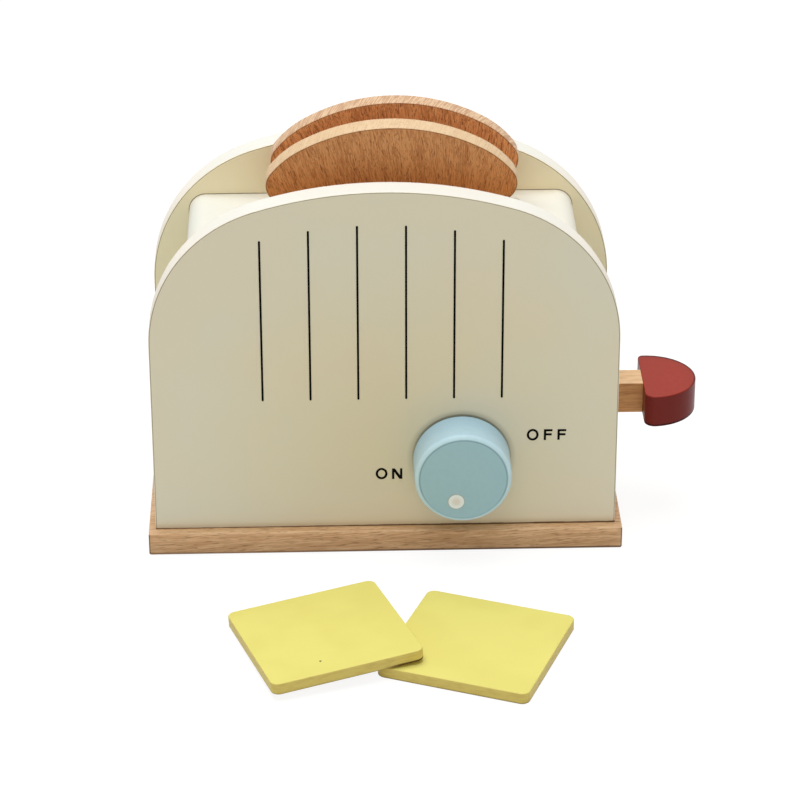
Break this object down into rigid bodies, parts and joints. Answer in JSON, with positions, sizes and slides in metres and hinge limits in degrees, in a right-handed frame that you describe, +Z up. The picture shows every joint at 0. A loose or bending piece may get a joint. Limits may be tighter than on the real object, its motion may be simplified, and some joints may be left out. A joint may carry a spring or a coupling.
{
  "type": "toy toaster",
  "caption": "Wooden play toaster: rounded panels on a base, slotted casing, sprung side lever and tray, turning knob, lift-out bread slices and loose cheese squares.",
  "frame": {"origin": "centre of the base board's underside, on the surface that the toaster stands on", "axes": "+Z up, -Y towards the user (the knob's side), +X towards the lever handle"},
  "size_m": [0.2285, 0.2018, 0.1793],
  "materials": {
    "beech": "clear satin lacquer over natural beech",
    "cream_paint": "satin opaque paint on wood",
    "plywood_tray": "bare sanded wood",
    "toasted_beech": "clear satin lacquer over steamed beech",
    "blue_paint": "satin opaque paint on wood",
    "red_paint": "satin opaque paint on wood",
    "yellow_paint": "satin opaque paint on wood",
    "black_print": "screen-printed ink",
    "white_print": "screen-printed ink",
    "zinc_screws": "bright zinc plate",
    "spring_steel": "drawn spring wire"
  },
  "bodies": {
    "casing": {"base_board": "beech", "front_panel": "cream_paint", "rear_panel": "cream_paint", "slit_lines": "black_print", "top_board": "cream_paint", "left_side_board": "cream_paint", "right_side_board": "cream_paint", "front_dowel_pins": "beech", "rear_dowel_pins": "beech", "base_screws": "zinc_screws", "upper_spring_hooks": "zinc_screws", "return_spring_left": "spring_steel", "return_spring_right": "spring_steel"},
    "carriage": {"lever_bar": "beech", "lever_handle": "red_paint", "handle_dowel": "beech", "carriage_tray": "plywood_tray", "tray_centre_rib": "beech", "tray_screws": "zinc_screws", "lower_spring_hooks": "zinc_screws"},
    "knob": {"knob": "blue_paint", "knob_pointer_dot": "white_print", "knob_axle": "beech", "knob_washer": "zinc_screws", "knob_screw": "zinc_screws"},
    "front_bread": {"bread_slice_front": "toasted_beech"},
    "rear_bread": {"bread_slice_rear": "toasted_beech"},
    "right_cheese": {"cheese_slice_right": "yellow_paint"},
    "left_cheese": {"cheese_slice_left": "yellow_paint"}
  },
  "joints": [
    {"name": "lever_slide", "type": "slide", "parent": "casing", "child": "carriage", "axis": [0, 0, 1], "range_m": [-0.03, 0], "stiffness_N_per_m": 150, "springref_m": 0.03, "deforming": ["return_spring_left", "return_spring_right"]},
    {"name": "knob_turn", "type": "hinge", "parent": "casing", "child": "knob", "pos_m": [0.0312, -0.04625, 0.04085], "axis": [0, 1, 0], "continuous": true},
    {"name": "bread_front_lift", "type": "slide", "parent": "carriage", "child": "front_bread", "axis": [0, -0.0436, 0.999], "range_m": [0, 0.1]},
    {"name": "bread_rear_lift", "type": "slide", "parent": "carriage", "child": "rear_bread", "axis": [0, 0.0436, 0.999], "range_m": [0, 0.1]},
    {"name": "cheese_right_lift", "type": "slide", "parent": "casing", "child": "right_cheese", "axis": [0, 0, 1], "range_m": [0, 0.06]},
    {"name": "cheese_left_lift", "type": "slide", "parent": "right_cheese", "child": "left_cheese", "axis": [0, 0, 1], "range_m": [0, 0.06]}
  ]
}
